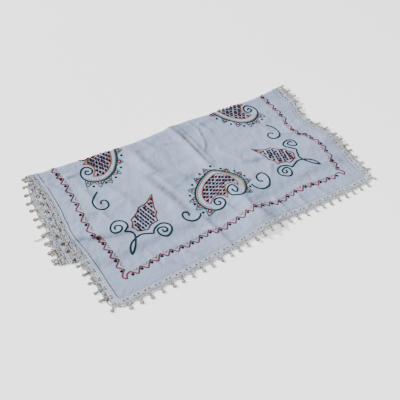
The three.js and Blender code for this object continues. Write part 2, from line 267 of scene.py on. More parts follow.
def upper_height(x, y, fold_y):
    second_y = read_table(SECOND_FOLD, "x", "y", x)
    right_edge = RIGHT_HEM + EDGING_REACH + read_table(MIDDLE_SLIP, "run", "slip", fold_y - y)
    side = 1 - smooth(right_edge + RIGHT_STEP_START, right_edge + RIGHT_STEP_END, x)
    over = smooth(second_y - NEAR_STEP_START - STEP_RUN, second_y - NEAR_STEP_END, y) * side
    stack = STEP_OVER_ONE * over + STEP_OVER_TWO * over * over_lowest(x, y)
    roll = FIRST_FOLD_RISE * smooth(fold_y - FIRST_FOLD_RUN, fold_y, y)
    return FLOOR_LEVEL + stack + roll + ridge_height(x, y)


def plan_x(u, y):
    left = 1 - smooth(LEFT_HEM, LEFT_HEM + WANDER_REACH, u)
    right = smooth(RIGHT_HEM - WANDER_REACH, RIGHT_HEM - RIGHT_WANDER_END, u)
    shift = left * read_table(SIDE_WANDER, "y", "left", y)
    shift = shift + right * read_table(SIDE_WANDER, "y", "right", y)
    past = np.maximum(0, u - RIGHT_HEM)
    return u - past + past * read_table(SIDE_WANDER, "y", "reach", y) + shift


def near_pull(u, y):
    return read_table(NEAR_HEM_PULL, "x", "pull", u) * (1 - smooth(0, NEAR_PULL_FADE, y))


def lay(u, v):
    """Places of the cloth's middle surface at flat coordinates u, v, as rows of x, y, z."""
    u = np.asarray(u, float)
    v = np.asarray(v, float)
    u, v = np.broadcast_arrays(u, v)
    fold_y = read_table(FIRST_FOLD, "x", "y", u)
    end_plan = plan_x(u, fold_y)
    end_z = upper_height(end_plan, fold_y, fold_y)
    end_x = end_plan - LEAN_X * end_z
    end_y = fold_y - LEAN_Y * end_z
    radius = (end_z - FLOOR_LEVEL) / 2
    second_radius = STEP_OVER_ONE / 2
    last_slip = MIDDLE_SLIP[-1]["slip"]
    second_y = read_table(SECOND_FOLD, "x", "y", u + last_slip)
    middle = end_y - second_y

    flat_y = NEAR_HEM + np.where(v < 0, v * NEAR_EDGING_REACH, v)
    x = plan_x(u, flat_y)
    y = flat_y + near_pull(u, flat_y)
    z = upper_height(x, y, fold_y)
    place = np.stack([x - LEAN_X * z, y - LEAN_Y * z, z], -1)

    rest = v - (fold_y - NEAR_HEM)
    turn = np.clip(rest / radius, 0, math.pi)
    arc = np.stack([end_x, end_y + radius * np.sin(turn), end_z - radius * (1 - np.cos(turn))], -1)
    place = np.where((rest > 0)[..., None], arc, place)

    rest = rest - math.pi * radius
    x = end_x + read_table(MIDDLE_SLIP, "run", "slip", rest)
    y = end_y - rest
    z = FLOOR_LEVEL + STEP_OVER_ONE * over_lowest(x, y)
    place = np.where((rest > 0)[..., None], np.stack([x, y, z], -1), place)

    rest = rest - middle
    turn = np.clip(rest / second_radius, 0, math.pi)
    x = end_x + last_slip
    y = second_y - second_radius * np.sin(turn)
    z = FLOOR_LEVEL + STEP_OVER_ONE - second_radius * (1 - np.cos(turn))
    place = np.where((rest > 0)[..., None], np.stack([x, y, z], -1), place)

    rest = rest - math.pi * second_radius
    low = np.stack([x + LOWEST_SLIP * rest, second_y + rest, np.full_like(u, FLOOR_LEVEL)], -1)
    place = np.where((rest > 0)[..., None], low, place)
    return place - np.array([ORIGIN_X, ORIGIN_Y, 0.0])


def unit(vectors):
    return vectors / np.maximum(np.linalg.norm(vectors, axis=-1, keepdims=True), 1e-9)


def face_directions(u, v):
    """The way the cloth's face side points at u, v."""
    reach = 0.4
    across = lay(u + reach, v) - lay(u - reach, v)
    along = lay(u, v + reach) - lay(u, v - reach)
    return unit(np.cross(across, along))


def to_flat(plan):
    """Flat coordinates of points given as seen in plan, in border dots from its left end."""
    x = plan[:, 0] * DOT_SPACING
    y = plan[:, 1] * DOT_SPACING
    u = x.copy()
    flat_y = y.copy()
    for _ in range(4):
        flat_y = y - near_pull(u, flat_y)
        u = u + x - plan_x(u, flat_y)
    return np.stack([u, flat_y - NEAR_HEM], -1)


# Camera, floor and light

SENSOR_WIDTH = 36
FLOOR_HALF = 6.0
LIGHTS = [
    dict(name="key", place=(-9.4, 8.6, 7.4), target=(0, 0, 0), size=3.0, power=5600,
         colour=(1.0, 0.985, 0.96)),
    dict(name="fill", place=(0.15, -0.6, 1.0), target=(0.1, -0.1, 0), size=0.8, power=4.3,
         colour=(0.93, 0.96, 1.0)),
]
ROOM_COLOUR = (0.92, 0.95, 1.0, 1)
ROOM_STRENGTH = 0.33


def set_camera():
    azimuth = math.radians(VIEW_AZIMUTH)
    elevation = math.radians(VIEW_ELEVATION)
    roll = math.radians(VIEW_ROLL)
    back = Vector((math.sin(azimuth) * math.cos(elevation), -math.cos(azimuth) * math.cos(elevation),
                   math.sin(elevation)))
    level_right = Vector((0, 0, 1)).cross(back).normalized()
    level_up = back.cross(level_right)
    right = math.cos(roll) * level_right + math.sin(roll) * level_up
    up = back.cross(right)
    data = bpy.data.cameras.new("view")
    data.lens = VIEW_LENS
    data.sensor_width = SENSOR_WIDTH
    camera = bpy.data.objects.new("view", data)
    turn = Matrix((right, up, back)).transposed().to_4x4()
    camera.matrix_world = Matrix.Translation(CAMERA_PLACE) @ turn
    bpy.context.scene.collection.objects.link(camera)
    bpy.context.scene.camera = camera


def add_area_light(name, place, target, size, power, colour):
    data = bpy.data.lights.new(name, "AREA")
    data.shape = "DISK"
    data.size = size
    data.energy = power
    data.color = colour
    lamp = bpy.data.objects.new(name, data)
    lamp.location = place
    lamp.rotation_euler = (Vector(target) - Vector(place)).to_track_quat("-Z", "Y").to_euler()
    bpy.context.scene.collection.objects.link(lamp)


def set_studio():
    side = FLOOR_HALF
    mesh = bpy.data.meshes.new("floor")
    corners = [(-side, -side, 0), (side, -side, 0), (side, side, 0), (-side, side, 0)]
    mesh.from_pydata(corners, [], [(0, 1, 2, 3)])
    floor = bpy.data.objects.new("floor", mesh)
    bpy.context.scene.collection.objects.link(floor)
    floor.data.materials.append(floor_finish())
    for light in LIGHTS:
        add_area_light(**light)
    world = bpy.data.worlds.new("soft room")
    bpy.context.scene.world = world
    world.use_nodes = True
    sky = world.node_tree.nodes["Background"]
    sky.inputs["Color"].default_value = ROOM_COLOUR
    sky.inputs["Strength"].default_value = ROOM_STRENGTH


# Finishes


def new_node(tree, kind, **settings):
    node = tree.nodes.new(kind)
    for name, value in settings.items():
        setattr(node, name, value)
    return node


class Finish:
    """A material in the making. Each input is a number, a colour or another node's output."""

    def __init__(self, name, roughness, sheen=0.0, specular=0.25):
        self.material = bpy.data.materials.new(name)
        self.material.use_nodes = True
        self.tree = self.material.node_tree
        self.shader = self.tree.nodes["Principled BSDF"]
        self.fill(self.shader, {"Roughness": roughness, "Sheen Weight": sheen,
                                "Sheen Roughness": 0.5, "Specular IOR Level": specular})

    def fill(self, node, inputs):
        for key, value in inputs.items():
            socket = node.inputs[key]
            if isinstance(value, bpy.types.NodeSocket):
                self.tree.links.new(value, socket)
            elif socket.type == "RGBA":
                socket.default_value = (*value, 1)
            else:
                socket.default_value = value

    def node(self, kind, inputs, output, **settings):
        node = new_node(self.tree, "ShaderNode" + kind, **settings)
        self.fill(node, inputs)
        return node.outputs[output]

    def place(self):
        return self.node("TexCoord", {}, "Object")

    def attribute(self, name):
        return self.node("Attribute", {}, "Fac", attribute_name=name)

    def noise(self, vector, scale, detail=3.0):
        return self.node("TexNoise", {"Vector": vector, "Scale": scale, "Detail": detail}, "Fac")

    def spread(self, value, low, high):
        return self.node("MapRange", {"Value": value, "From Min": low, "From Max": high}, "Result")

    def calculate(self, operation, *values):
        return self.node("Math", dict(enumerate(values)), "Value", operation=operation)

    def bump(self, height, strength, distance, before=None):
        inputs = {"Height": height, "Strength": strength, "Distance": distance}
        if before is not None:
            inputs["Normal"] = before
        return self.node("Bump", inputs, "Normal")

    def mix(self, factor, first, second):
        mix = new_node(self.tree, "ShaderNodeMix", data_type="RGBA")
        a, b = [i for i, socket in enumerate(mix.inputs) if socket.type == "RGBA"]
        self.fill(mix, {"Factor": factor, a: first, b: second})
        return [socket for socket in mix.outputs if socket.type == "RGBA"][0]


def floor_finish():
    finish = Finish("pale floor", 0.85)
    tone = finish.mix(finish.noise(finish.place(), 1.5), (0.92, 0.92, 0.92), (0.95, 0.95, 0.95))
    finish.fill(finish.shader, {"Base Color": tone, "Emission Color": (1, 1, 1),
                                "Emission Strength": 0.9})
    return finish.material


def cotton_finish():
    """Plain-woven cotton: fine threads both ways, rumples, faint tone changes, and creases darkened as
    worn lines and painted shade.
    """
    finish = Finish("plain cotton", 0.9, sheen=0.12)
    flat = finish.node("UVMap", {}, "UV", uv_map="flat")
    cloud = finish.spread(finish.noise(flat, 7.0), 0.3, 0.7)
    # White cotton given a darker, bluer colour: painted bluish shade light.
    tone = finish.mix(cloud, (0.29, 0.358, 0.53), (0.326, 0.394, 0.565))
    blot = finish.spread(finish.noise(flat, 28.0, 4.0), 0.45, 0.8)
    tone = finish.mix(blot, tone, (0.335, 0.375, 0.49))
    # The crease attribute darkens the cotton towards brown-grey: worn fold lines, and painted shade on the
    # creases' shaded flanks.
    wear_and_shade = finish.calculate("MULTIPLY", finish.attribute("crease"), 0.8)
    tone = finish.mix(wear_and_shade, tone, (0.195, 0.165, 0.16))
    heights = []
    for turn in (0.0, math.pi / 2):
        across = finish.node("Mapping", {"Vector": flat, "Rotation": (0, 0, turn)}, "Vector")
        threads = {"Vector": across, "Scale": 620, "Distortion": 0.8, "Detail": 1.0}
        heights.append(finish.node("TexWave", threads, "Fac"))
    weave = finish.calculate("ADD", *heights)
    swell = finish.noise(flat, 14.0, 2.0)
    rumple = finish.noise(flat, 42.0, 4.0)
    from_middle = finish.calculate("SUBTRACT", finish.noise(flat, 11.0), 0.5)
    crumple = finish.calculate("ABSOLUTE", from_middle)
    normal = finish.bump(swell, 0.5, 0.006)
    normal = finish.bump(crumple, 1.0, 0.009, normal)
    normal = finish.bump(rumple, 0.9, 0.0034, normal)
    normal = finish.bump(weave, 0.25, 0.00015, normal)
    finish.fill(finish.shader, {"Base Color": tone, "Normal": normal})
    return finish.material


def thread_finish(name, colour, shade):
    """Stranded cotton thread: two close tones and a fine fibre relief."""
    finish = Finish(name, 0.7, specular=0.1)
    place = finish.place()
    tone = finish.mix(finish.noise(place, 900.0), colour, shade)
    fibre = finish.bump(finish.noise(place, 3200.0, 2.0), 0.5, 0.0002)
    finish.fill(finish.shader, {"Base Color": tone, "Normal": fibre})
    return finish.material


def yarn_finish():
    """Crochet cotton, from white to ecru to a dark brown that paints the shade of its recesses, as each
    strand says.
    """
    finish = Finish("crochet cotton", 0.88, sheen=0.1)
    place = finish.place()
    tint = finish.attribute("tint")
    ramp = new_node(finish.tree, "ShaderNodeValToRGB")
    stops = ramp.color_ramp.elements
    # The white end matches the cotton's colour, likewise painted bluish shade light.
    stops[0].color = (0.415, 0.48, 0.61, 1)
    # The dark brown end is painted shade, for strands in the lace's recesses and holes.
    stops[1].color = (0.06, 0.045, 0.033, 1)
    middle = stops.new(0.5)
    middle.color = (0.42, 0.38, 0.315, 1)
    finish.fill(ramp, {"Fac": tint})
    speck = finish.spread(finish.noise(place, 300.0), 0.5, 0.62)
    both = finish.calculate("MULTIPLY", speck, finish.spread(tint, 0.04, 0.3))
    tone = finish.mix(both, ramp.outputs["Color"], (0.13, 0.10, 0.07))
    fibre = finish.bump(finish.noise(place, 2400.0, 2.0), 0.6, 0.0003)
    finish.fill(finish.shader, {"Base Color": tone, "Normal": fibre})
    return finish.material


# The cloth itself

COLUMN_WIDTH = 3.0
TOP_ROW_LENGTH = 2.7
UNDER_ROW_LENGTH = 7.0
TOP_LENGTH = 410


def build_cloth(finish):
    columns = round(CLOTH_WIDTH / COLUMN_WIDTH)
    top = np.linspace(0, TOP_LENGTH, round(TOP_LENGTH / TOP_ROW_LENGTH) + 1)
    under_rows = round((CLOTH_LENGTH - TOP_LENGTH) / UNDER_ROW_LENGTH)
    under = np.linspace(TOP_LENGTH, CLOTH_LENGTH, under_rows + 1)
    u = LEFT_HEM + np.linspace(0, CLOTH_WIDTH, columns + 1)
    v = np.concatenate([top, under[1:]])
    rows = len(v) - 1
    grid_u, grid_v = np.meshgrid(u, v, indexing="ij")
    points = lay(grid_u, grid_v).reshape(-1, 3) * MM
    index = np.arange((columns + 1) * (rows + 1)).reshape(columns + 1, rows + 1)
    quads = np.stack([index[:-1, :-1], index[1:, :-1], index[1:, 1:], index[:-1, 1:]], -1)
    mesh = bpy.data.meshes.new("cloth_sheet")
    mesh.from_pydata(points.tolist(), [], quads.reshape(-1, 4).tolist())
    flat = mesh.uv_layers.new(name="flat")
    corner = np.array([loop.vertex_index for loop in mesh.loops])
    uv = np.stack([grid_u.ravel(), grid_v.ravel()], -1)[corner] * MM
    flat.data.foreach_set("uv", uv.ravel())
    # Darkening along the creases, worn lines and painted shade, for the cotton's colour.
    crease = mesh.attributes.new("crease", "FLOAT", "POINT")
    crease.data.foreach_set("value", crease_wear_and_shade(grid_u, grid_v).ravel())
    mesh.materials.append(finish)
    mesh.shade_smooth()
    cloth = bpy.data.objects.new("cloth_sheet", mesh)
    bpy.context.scene.collection.objects.link(cloth)
    shell = cloth.modifiers.new("thickness", "SOLIDIFY")
    shell.thickness = CLOTH_THICK * MM
    shell.offset = 0
    return bake_modifiers(cloth)


def bake_modifiers(piece):
    """Turns a piece with modifiers into a plain mesh."""
    depsgraph = bpy.context.evaluated_depsgraph_get()
    mesh = bpy.data.meshes.new_from_object(piece.evaluated_get(depsgraph))
    piece.modifiers.clear()
    piece.data = mesh
    mesh.name = piece.name
    return piece


# Stitches and loops of yarn, laid by one node tree

STITCH_HEIGHT = 1.7
YARN_WIDTH = 2.3
YARN_HEIGHT = 2.0
# As wide as the thread and the shade in its groove together; that shade is painted.
SEAM_WIDTH = 1.3
SEAM_HEIGHT = 0.8


def attribute_node(tree, name, kind):
    node = new_node(tree, "GeometryNodeInputNamedAttribute", data_type=kind)
    node.inputs["Name"].default_value = name
    return [s for s in node.outputs if s.name == "Attribute" and s.enabled][0]


def make_strand_tree():
    """Lays a tapered strand of thread on each point, along and upright as the point says."""
    tree = bpy.data.node_groups.new("lay strands", "GeometryNodeTree")
    inputs = {"Points": "Geometry", "Strand width": "Float", "Strand height": "Float",
              "Sides": "Int", "Steps": "Int", "Finish": "Material"}
    for title, kind in inputs.items():
        tree.interface.new_socket(title, in_out="INPUT", socket_type="NodeSocket" + kind)
    tree.interface.new_socket("Geometry", in_out="OUTPUT", socket_type="NodeSocketGeometry")
    group_in = tree.nodes.new("NodeGroupInput")
    group_out = tree.nodes.new("NodeGroupOutput")
    link = tree.links.new
    ball = tree.nodes.new("GeometryNodeMeshUVSphere")
    ball.inputs["Radius"].default_value = 0.5
    link(group_in.outputs["Sides"], ball.inputs["Segments"])
    link(group_in.outputs["Steps"], ball.inputs["Rings"])
    tip = tree.nodes.new("GeometryNodeTransform")
    tip.inputs["Rotation"].default_value = (0, math.pi / 2, 0)
    link(ball.outputs["Mesh"], tip.inputs["Geometry"])
    upright = new_node(tree, "FunctionNodeAlignRotationToVector", axis="Z")
    link(attribute_node(tree, "upward", "FLOAT_VECTOR"), upright.inputs["Vector"])
    heading = new_node(tree, "FunctionNodeAlignRotationToVector", axis="X", pivot_axis="Z")
    link(upright.outputs["Rotation"], heading.inputs["Rotation"])
    link(attribute_node(tree, "heading", "FLOAT_VECTOR"), heading.inputs["Vector"])
    size = tree.nodes.new("ShaderNodeCombineXYZ")
    link(attribute_node(tree, "reach", "FLOAT"), size.inputs["X"])
    link(group_in.outputs["Strand width"], size.inputs["Y"])
    link(group_in.outputs["Strand height"], size.inputs["Z"])
    place = tree.nodes.new("GeometryNodeInstanceOnPoints")
    link(group_in.outputs["Points"], place.inputs["Points"])
    link(tip.outputs["Geometry"], place.inputs["Instance"])
    link(heading.outputs["Rotation"], place.inputs["Rotation"])
    link(size.outputs["Vector"], place.inputs["Scale"])
    real = tree.nodes.new("GeometryNodeRealizeInstances")
    link(place.outputs["Instances"], real.inputs["Geometry"])
    round_off = tree.nodes.new("GeometryNodeSetShadeSmooth")
    link(real.outputs["Geometry"], round_off.inputs["Geometry"])
    dress = tree.nodes.new("GeometryNodeSetMaterial")
    link(round_off.outputs["Geometry"], dress.inputs["Geometry"])
    link(group_in.outputs["Finish"], dress.inputs["Material"])
    link(dress.outputs["Geometry"], group_out.inputs["Geometry"])
    return tree


def lay_strands(name, strands, width, height, finish, sides=5, steps=4):
    """One piece of many strands. strands has rows of place, heading, upward, length, tint."""
    place, heading, upward, length, tint = (np.concatenate(part) for part in zip(*strands))
    heading = unit(heading)
    dip = height / 2 + np.abs(heading[:, 2]) * length / 2
    place[:, 2] = np.maximum(place[:, 2], dip)
    mesh = bpy.data.meshes.new(name)
    mesh.from_pydata((place * MM).tolist(), [], [])
    for key, values in (("heading", heading), ("upward", upward), ("reach", length * MM), ("tint", tint)):
        kind = "FLOAT_VECTOR" if values.ndim > 1 else "FLOAT"
        attribute = mesh.attributes.new(key, kind, "POINT")
        attribute.data.foreach_set("vector" if values.ndim > 1 else "value", values.ravel())
    piece = bpy.data.objects.new(name, mesh)
    bpy.context.scene.collection.objects.link(piece)
    modifier = piece.modifiers.new("strands", "NODES")
    modifier.node_group = STRAND_TREE
    values = {"Strand width": width * MM, "Strand height": height * MM, "Sides": sides, "Steps": steps,
              "Finish": finish}
    for socket in STRAND_TREE.interface.items_tree:
        if socket.in_out == "INPUT" and socket.name in values:
            modifier[socket.identifier] = values[socket.name]
    bake_modifiers(piece)
    for key in ("heading", "upward", "reach"):
        if key in piece.data.attributes:
            piece.data.attributes.remove(piece.data.attributes[key])
    return piece


def strands_at(flat, heading_flat, length, lift, tint=0.0):
    """Strands centred at flat points, running as heading_flat does on the flat cloth."""
    step = 0.5 * unit(heading_flat)
    u, v = flat[:, 0], flat[:, 1]
    ahead = lay(u + step[:, 0], v + step[:, 1])
    behind = lay(u - step[:, 0], v - step[:, 1])
    upward = face_directions(u, v)
    height = np.full(len(flat), CLOTH_THICK / 2) + lift
    place = lay(u, v) + upward * height[:, None]
    size = np.full(len(flat), 1.0) * length
    return place, ahead - behind, upward, size, np.full(len(flat), 1.0) * tint


# Lines drawn on the flat cloth

CURVE_STEPS = 10
STEM_SLANT = 0.2
DOT_ANGLE = 0.9
DOT_LIFT = 0.5


def curve_through(points, steps=CURVE_STEPS):
    """A smooth line through a few points, as a Catmull-Rom curve."""
    p = np.array(points, float)
    p = np.vstack([2 * p[0] - p[1], p, 2 * p[-1] - p[-2]])
    t = np.linspace(0, 1, steps, endpoint=False)[:, None]
    parts = []
    for a, b, c, d in zip(p[:-3], p[1:-2], p[2:-1], p[3:]):
        parts.append(0.5 * (2 * b + (c - a) * t + (2 * a - 5 * b + 4 * c - d) * t ** 2
                            + (3 * b - a - 3 * c + d) * t ** 3))
    parts.append(p[-2:-1])
    return np.vstack(parts)


def walk(line, step):
    """Points every step along a line, with the way it runs at each."""
    legs = np.linalg.norm(np.diff(line, axis=0), axis=1)
    total = np.concatenate([[0], np.cumsum(legs)])
    count = max(1, int(round(total[-1] / step)))
    at = (np.arange(count) + 0.5) * total[-1] / count
    points, ahead, behind = (
        np.stack([np.interp(at + shift, total, column) for column in line.T], -1)
        for shift in (0.0, 0.4, -0.4))
    return points, ahead - behind


def turned(vectors, angle):
    c, s = math.cos(angle), math.sin(angle)
    return np.stack([c * vectors[:, 0] - s * vectors[:, 1], s * vectors[:, 0] + c * vectors[:, 1]], -1)


def stem_line(line, stitch, step, lift=0.25):
    """Slanted stitches that overlap along a flat line, as stem stitch does."""
    points, heading = walk(line, step)
    return strands_at(points, turned(heading, STEM_SLANT), stitch, lift)


def satin_dot(flat, length, across, count=4):
    """A small solid dot of parallel stitches at each flat point."""
    heading = np.tile([[math.cos(DOT_ANGLE), math.sin(DOT_ANGLE)]], (len(flat), 1))
    side = turned(heading, math.pi / 2)
    rows = []
    for k in range(count):
        off = (k - (count - 1) / 2) * across
        share = math.sqrt(max(0.2, 1 - (off / (across * count / 2)) ** 2))
        rows.append(strands_at(flat + side * off, heading, length * share, DOT_LIFT))
    return rows


# Motifs, in border dots. Each has its own middle at 0 along the border and runs in from it.
# Their points were read off the photograph.

OUTLINE = [
    (-0.98, 2.86), (-0.82, 2.62), (-1.10, 2.45), (-1.35, 2.65), (-1.32, 3.00), (-1.00, 3.22),
    (-0.55, 3.10), (-0.35, 2.75), (-0.50, 2.35), (-0.90, 2.05), (-1.40, 1.97), (-1.90, 2.15),
    (-2.35, 2.55), (-2.60, 3.10), (-2.68, 3.70), (-2.50, 4.35), (-2.10, 5.00), (-1.40, 5.60),
    (-0.60, 6.10), (0.30, 6.42), (0.90, 6.40), (1.45, 5.95), (1.90, 5.50), (2.35, 5.00),
    (2.65, 4.40), (2.75, 3.90), (2.60, 3.35), (2.30, 2.85), (1.90, 2.60), (1.50, 2.50),
    (1.05, 2.65), (0.65, 2.85), (0.52, 3.15), (0.60, 3.60), (0.90, 3.90), (1.25, 3.98),
    (1.50, 3.75), (1.52, 3.30), (1.30, 3.00), (1.08, 3.15), (1.02, 3.50),
]
OUTLINE_RING_START = 11
OUTLINE_RING_END = 28
INNER_SIDES = [
    [(-1.75, 2.95), (-1.95, 3.40), (-1.92, 4.00), (-1.60, 4.60), (-0.90, 5.25), (-0.10, 5.65),
     (0.70, 5.88), (1.20, 5.65), (1.70, 5.10), (1.95, 4.50), (2.00, 4.00), (1.80, 3.65)],
    [(1.80, 3.65), (1.75, 3.90), (1.40, 4.20), (1.05, 4.28), (0.70, 4.15), (0.45, 3.70), (0.30, 3.20),
     (0.05, 2.80)],
    [(0.05, 2.80), (-0.10, 3.20), (-0.50, 3.45), (-0.85, 3.50), (-1.25, 3.35), (-1.50, 3.15),
     (-1.75, 2.95)],
]
CHECK_MARGIN = 0.11
CHECK_SHAKE = 0.03
CHECK_LEGS = [
    dict(thread="wine", lean=2.2, length=10.6, lift=0.5),
    dict(thread="black", lean=0.95, length=12.0, lift=0.9),
    dict(thread="wine", lean=0.0, length=7.0, lift=0.4),
]
SECOND_BLACK_LEG = dict(lean=1.9, length=8.4, lift=0.9)
SECOND_BLACK_SHARE = 0.45
GREEN_STITCH = dict(stitch=5.4, step=2.7)
CRIMSON_STITCH = dict(stitch=4.4, step=2.6)
POINT_HALF_BASE = 0.43
POINT_TIPS = [(-2.75, 1.80), (-3.35, 2.95), (-3.38, 4.10), (-2.70, 5.40), (-1.42, 6.35), (0.10, 7.05),
              (2.15, 5.95), (3.10, 4.90), (3.35, 3.60), (2.50, 2.20)]
POINT_DOTS = [(-2.95, 2.40), (-3.10, 3.60), (-2.90, 4.72), (-1.98, 5.75), (-0.58, 6.60), (0.90, 6.95),
              (1.62, 6.22), (2.62, 5.30), (3.10, 4.30), (2.75, 2.90)]

BUD_SIDES = [
    [(5.79, 6.62), (5.35, 6.28), (4.75, 5.92), (3.95, 5.80)],
    [(3.95, 5.80), (3.50, 5.35), (2.65, 4.85)],
    [(2.65, 4.85), (2.63, 4.50), (2.33, 4.08)],
    [(2.33, 4.08), (2.52, 3.80), (2.60, 3.50)],
    [(2.60, 3.50), (3.00, 3.33), (3.45, 3.20)],
    [(3.45, 3.20), (3.95, 3.55), (4.70, 3.65)],
    [(4.70, 3.65), (4.78, 4.15), (5.15, 4.60)],
    [(5.15, 4.60), (5.18, 5.15), (5.79, 6.62)],
]
BUD_TIP = [(5.72, 6.5), (5.3, 6.08)]
BUD_STEMS = [
    [(0.98, 4.60), (1.05, 4.85), (1.25, 4.93), (1.55, 4.80), (1.62, 4.55), (1.45, 4.30), (1.10, 4.20),
     (0.75, 4.30), (0.60, 4.65), (0.75, 5.05), (1.10, 5.35), (1.50, 5.40), (1.95, 5.15), (2.15, 4.75),
     (2.10, 4.40), (1.85, 4.20), (1.58, 4.00)],
    [(1.58, 4.00), (1.95, 3.80), (2.15, 3.45), (2.10, 3.10), (1.95, 2.75), (1.60, 2.20), (1.20, 1.75),
     (0.88, 1.52)],
    [(0.88, 1.52), (1.00, 2.00), (1.30, 2.45), (1.70, 2.75), (2.20, 2.95), (2.70, 3.00), (3.20, 2.80),
     (3.65, 2.57)],
    [(3.65, 2.57), (3.85, 2.85), (4.20, 3.10), (4.70, 3.22), (5.15, 3.05), (5.40, 2.65), (5.30, 2.20),
     (4.90, 1.85), (4.50, 1.75), (4.15, 2.05), (4.05, 2.50), (4.20, 2.80), (4.50, 2.85), (4.85, 2.70),
     (4.95, 2.45), (4.80, 2.25), (4.55, 2.30), (4.50, 2.55)],
]
NEAR_LEFT_TENDRIL = [(-3.19, 2.46), (-3.40, 2.20), (-3.80, 2.00), (-4.34, 2.07), (-4.75, 2.50),
                     (-4.78, 3.01), (-4.50, 3.30), (-4.15, 3.10), (-4.29, 2.74)]
NEAR_RIGHT_TENDRIL = [(3.05, 3.05), (3.15, 2.60), (3.50, 2.15), (4.00, 2.00), (4.60, 2.20), (5.05, 2.90),
                      (5.00, 3.60), (4.60, 3.85), (4.05, 3.60), (3.95, 3.10), (4.27, 2.84)]
SIDE_TENDRIL = [(-3.70, 2.35), (-4.10, 1.87), (-4.60, 1.47), (-5.10, 1.39), (-5.60, 1.52), (-5.90, 1.97),
                (-5.75, 2.47), (-5.30, 2.64), (-4.95, 2.50), (-4.90, 2.17), (-5.20, 2.02)]

RIGHT_TENDRIL = [(-3.95, 2.59), (-4.28, 2.21), (-4.80, 2.02), (-5.34, 2.03), (-5.82, 2.28), (-6.02, 2.85),
                 (-5.80, 3.29), (-5.40, 3.44), (-5.12, 3.24), (-5.08, 2.94), (-5.35, 2.76)]

BORDER_LEFT = -0.77
BORDER_RIGHT = 23.77
BORDER_FAR = 26.08
MOTIF_MIDDLE_X = 11.7
MOTIF_MIDDLE_Y = 13.04

SIDES = {
    "near": lambda p: np.stack([MOTIF_MIDDLE_X + p[:, 0], p[:, 1]], -1),
    "left": lambda p: np.stack([BORDER_LEFT + p[:, 1], MOTIF_MIDDLE_Y + p[:, 0]], -1),
    "right": lambda p: np.stack([BORDER_RIGHT - p[:, 1], MOTIF_MIDDLE_Y + p[:, 0]], -1),
    "far": lambda p: np.stack([MOTIF_MIDDLE_X - p[:, 0], BORDER_FAR - p[:, 1]], -1),
}


def inside(points, polygon):
    """Which points lie inside a polygon."""
    x, y = points[:, 0:1], points[:, 1:2]
    ax, ay = polygon[:, 0], polygon[:, 1]
    bx, by = np.roll(ax, -1), np.roll(ay, -1)
    with np.errstate(divide="ignore", invalid="ignore"):
        crossing = ((ay > y) != (by > y)) & (x < (bx - ax) * (y - ay) / (by - ay) + ax)
    return crossing.sum(1) % 2 == 1


def check_places(polygon, turn, columns, row_pitch):
    """Places of a turned grid inside a polygon, clear of its edge, its columns unevenly spaced."""
    middle = polygon.mean(0)
    starts = np.concatenate([[0], np.cumsum(np.tile(columns, 12))])
    starts = starts - starts[-1] / 2
    rows = (np.arange(24) - 11.5) * row_pitch
    across, along = np.meshgrid(starts, rows, indexing="ij")
    spots = middle + turned(np.stack([across.ravel(), along.ravel()], -1), turn)
    kept = spots[inside(spots, polygon)]
    gap = np.min(np.linalg.norm(kept[:, None] - polygon[None], axis=2), axis=1)
    return kept[gap > CHECK_MARGIN]


class Embroidery:
    """Collects the stitches of each thread, ready to be laid."""

    def __init__(self):
        self.threads = {}

    def add(self, thread, rows):
        self.threads.setdefault(thread, []).extend(rows)

    def line(self, thread, plan_line, **settings):
        self.add(thread, [stem_line(to_flat(plan_line), **settings)])


def stitch_curled_motif(work, side, chance):
    place = SIDES[side]
    outline = curve_through(OUTLINE)
    work.line("green", place(outline), **GREEN_STITCH)
    start, end = OUTLINE_RING_START * CURVE_STEPS, OUTLINE_RING_END * CURVE_STEPS
    ring = outline[start:end]
    heading = unit(np.gradient(ring, axis=0))
    outward = np.stack([-heading[:, 1], heading[:, 0]], -1)
    gold = ring - outward * 0.17
    work.line("gold", place(gold[3:-3]), stitch=4.0, step=2.6)
    wide = ring - outward * 0.26
    work.line("gold", place(wide[len(wide) * 2 // 3:-12]), stitch=4.0, step=2.6)
    inner = [curve_through(part) for part in INNER_SIDES]
    for part in inner:
        work.line("orange", place(part), stitch=4.2, step=2.4)
    polygon = np.vstack(inner)
    stitch_checks(work, polygon, place, chance, -0.53, [0.32], 0.43, 1.0)
    for tip in POINT_TIPS:
        i = int(np.argmin(np.linalg.norm(ring - tip, axis=1)))
        foot, out, along = ring[i], outward[i], heading[i]
        for way in (-1, 1):
            side_foot = foot + along * POINT_HALF_BASE * way + out * 0.06
            work.line("teal", place(np.array([side_foot, tip])), stitch=4.6, step=2.8)
        loop = curve_through([foot - along * 0.15 + out * 0.10, foot - along * 0.05 + out * 0.34,
                              foot + along * 0.12 + out * 0.30, foot + along * 0.15 + out * 0.10])
        work.line("rose", place(loop), stitch=3.6, step=1.8)
    dots = place(np.array(POINT_DOTS))
    work.add("black", satin_dot(to_flat(dots), length=7.2, across=1.4, count=3))


def stitch_checks(work, polygon, place, chance, turn, columns, row_pitch, size):
    """Crossed stitches on a turned grid, a black leg over a wine one. columns spaces them across."""
    spots = check_places(polygon, turn, columns, row_pitch)
    shake = [[chance.uniform(-CHECK_SHAKE, CHECK_SHAKE) for _ in range(2)] for _ in spots]
    spots = spots + np.array(shake)
    flat = to_flat(place(spots))

    def leg_strands(leg, kept):
        heading = np.array([[math.cos(leg["lean"]), math.sin(leg["lean"])]]) * 0.05
        ahead = to_flat(place(spots + turned(heading, turn))) - flat
        return strands_at(flat[kept], ahead[kept], leg["length"] * size, leg["lift"])

    for leg in CHECK_LEGS:
        work.add(leg["thread"], [leg_strands(leg, slice(None))])
    again = np.array([chance.random() < SECOND_BLACK_SHARE for _ in spots], bool)
    work.add("black", [leg_strands(SECOND_BLACK_LEG, again)])


def raised_side(p):
    """The near right bud's outline, drawn up beside its first curl."""
    x, y = p[:, 0], p[:, 1]
    raised = smooth(3.9, 4.7, y) * (1 - smooth(2.2, 3.0, x))
    return np.stack([x + 0.25 * raised, y + raised * (0.45 - 0.3 * (y - 4.7))], -1)


